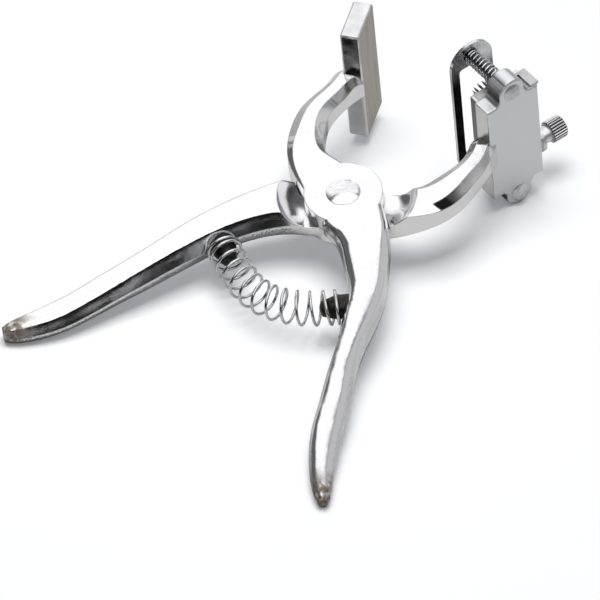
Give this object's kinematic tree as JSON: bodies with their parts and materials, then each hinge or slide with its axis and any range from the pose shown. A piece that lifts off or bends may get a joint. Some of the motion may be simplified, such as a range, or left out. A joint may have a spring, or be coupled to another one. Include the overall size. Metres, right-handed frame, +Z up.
{
  "type": "ear tattoo pliers",
  "caption": "Livestock ear tattoo pliers: a flat platen closes on a head of needle digits behind a sprung release plate, with curved handles kept open by a coil spring.",
  "frame": {"origin": "bottom centre of the bounding box, as the open pliers lie on a floor", "axes": "+Z up, shortest extent; +Y longest extent, from the platen-side handle's tip towards the jaws; +X from the head-side handle's tip towards the head"},
  "size_m": [0.2118, 0.2156, 0.0647],
  "materials": {
    "plated_casting": "bright nickel plating over a polished casting, with bare ground metal on the platen's face",
    "polished_steel": "polished steel",
    "dark_steel": "darkened steel, unpolished",
    "spring_wire": "bright drawn spring wire",
    "plated_sheet": "plated punched sheet",
    "sheet_steel": "plain bent sheet steel",
    "plated_screw": "plated, straight-knurled",
    "digit_steel": "satin machined steel",
    "needle_steel": "drawn steel points"
  },
  "bodies": {
    "platen_side": {"platen_lever": "plated_casting", "pivot_rivet": "polished_steel", "platen_side_peg": "dark_steel", "handle_spring": "spring_wire"},
    "head_side": {"head_lever": "plated_casting", "head_side_peg": "dark_steel", "upper_release_spring": "spring_wire", "lower_release_spring": "spring_wire", "digit_block_1": "digit_steel", "digit_block_2": "digit_steel", "digit_block_3": "digit_steel", "digit_block_4": "digit_steel", "digit_needles_1": "needle_steel", "digit_needles_2": "needle_steel", "digit_needles_3": "needle_steel", "digit_needles_4": "needle_steel"},
    "release": {"release_plate": "plated_sheet", "upper_guide_pin": "polished_steel", "lower_guide_pin": "polished_steel"},
    "clamp": {"clamp_strip": "sheet_steel"},
    "screw": {"thumb_screw": "plated_screw"}
  },
  "joints": [
    {"name": "jaw_pivot", "type": "hinge", "parent": "platen_side", "child": "head_side", "pos_m": [0.01991, 0.0301, 0.02218], "axis": [-0.1076, -0.1231, 0.9866], "range_deg": [0, 36.7], "stiffness_Nm_per_rad": 2, "springref_deg": -20.05, "deforming": ["handle_spring"]},
    {"name": "release_slide", "type": "slide", "parent": "head_side", "child": "release", "axis": [0.5224, -0.8513, -0.0492], "range_m": [0, 0.0076], "stiffness_N_per_m": 2500, "springref_m": -0.004, "deforming": ["upper_release_spring", "lower_release_spring"]},
    {"name": "clamp_slide", "type": "slide", "parent": "head_side", "child": "clamp", "axis": [0.8459, 0.5101, 0.1559], "range_m": [0, 0.0014]},
    {"name": "screw_turn", "type": "hinge", "parent": "clamp", "child": "screw", "pos_m": [0.09342, 0.06733, 0.0172], "axis": [0.8459, 0.5101, 0.1559], "range_deg": [0, 720]}
  ],
  "couplings": [
    {"joint": "screw_turn", "follows": "clamp_slide", "rad_per_m": 8976}
  ]
}
